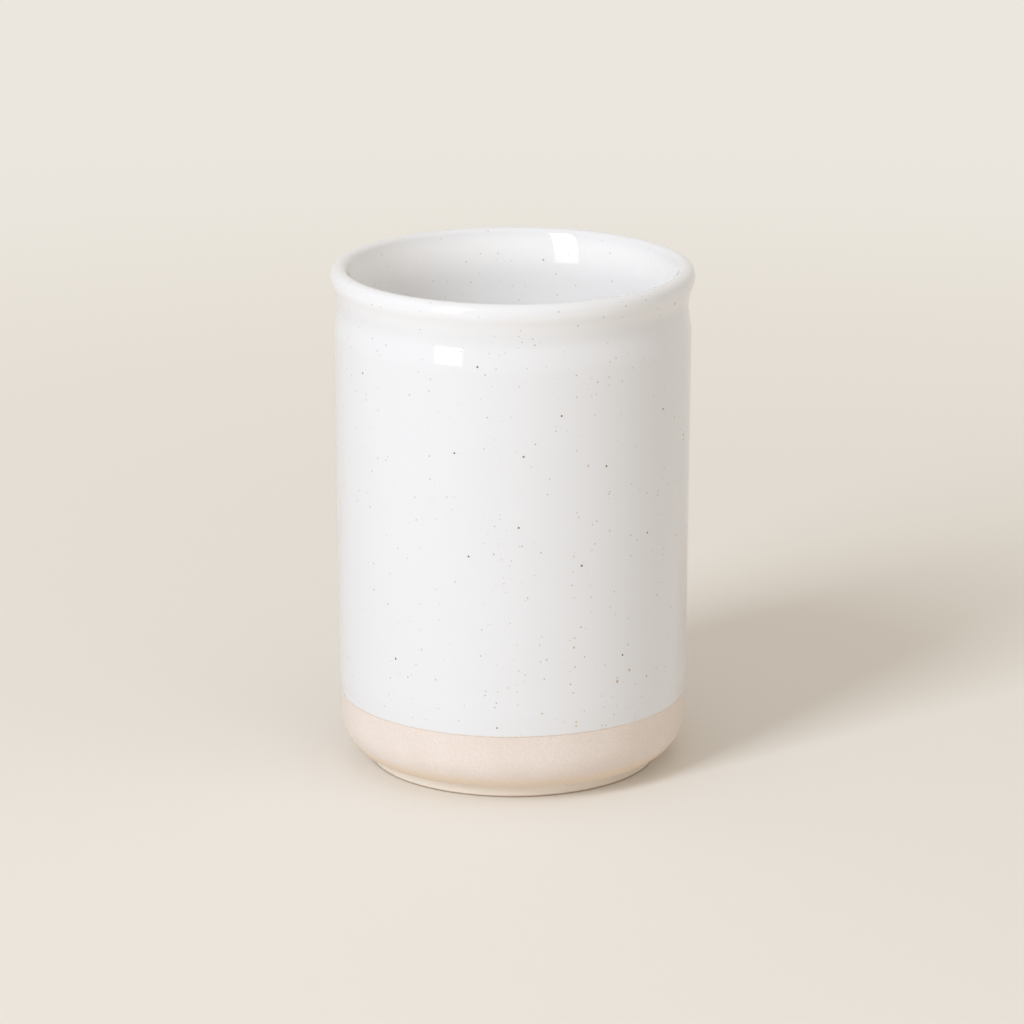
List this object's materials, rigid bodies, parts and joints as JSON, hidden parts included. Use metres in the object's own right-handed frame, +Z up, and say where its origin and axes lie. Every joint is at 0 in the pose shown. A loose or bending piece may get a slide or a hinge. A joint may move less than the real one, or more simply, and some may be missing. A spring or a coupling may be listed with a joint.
{
  "type": "utensil crock",
  "caption": "Round open stoneware crock with a rolled lip and a shallow neck, glazed down to a dip line above a bare clay heel and foot ring, to hold kitchen utensils on end.",
  "frame": {"origin": "on the surface that the crock stands on, at the centre of the foot ring", "axes": "+Z up along the crock's axis, from the foot to the mouth; the form is round, so X and Y are free"},
  "size_m": [0.1248, 0.1248, 0.175],
  "materials": {
    "clay": "bare fired stoneware, matte",
    "glaze": "gloss white glaze with iron speckle"
  },
  "bodies": {
    "root": {"clay_body": "clay", "glaze_coat": "glaze"}
  },
  "joints": []
}
